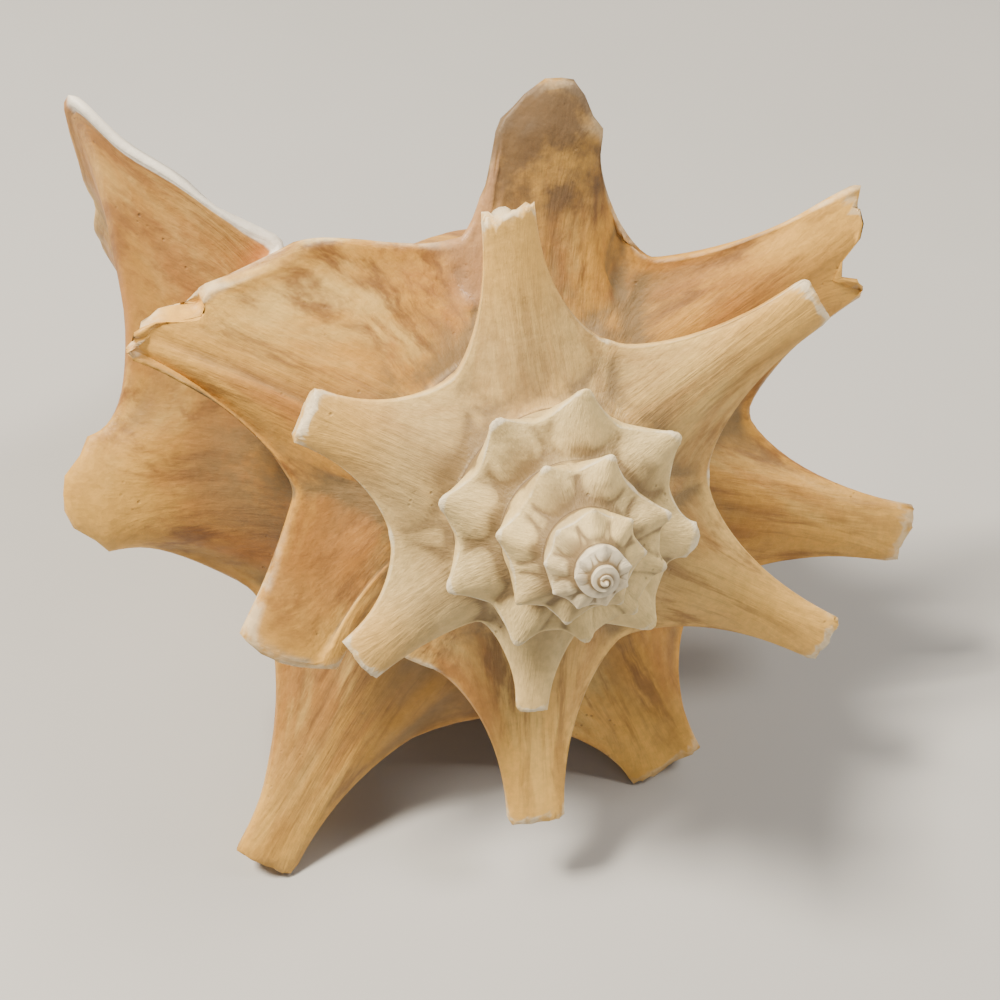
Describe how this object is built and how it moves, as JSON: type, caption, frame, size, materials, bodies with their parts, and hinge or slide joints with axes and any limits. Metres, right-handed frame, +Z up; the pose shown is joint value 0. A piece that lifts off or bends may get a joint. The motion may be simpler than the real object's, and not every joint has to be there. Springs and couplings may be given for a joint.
{
  "type": "conch shell",
  "caption": "Heavy spired sea snail shell with long blunt hollow-tipped spines and a flared lip round its mouth; a natural curio for display.",
  "frame": {"origin": "on the floor under the middle of the shell's bounding box", "axes": "+Z up from the floor it lies on, +Y towards the end of the canal, the apex towards -Y"},
  "size_m": [0.1962, 0.2266, 0.1667],
  "materials": {
    "shell": "weathered shell, satin, smooth and glossier inside the mouth"
  },
  "bodies": {
    "root": {"conch_shell": "shell"}
  },
  "joints": []
}
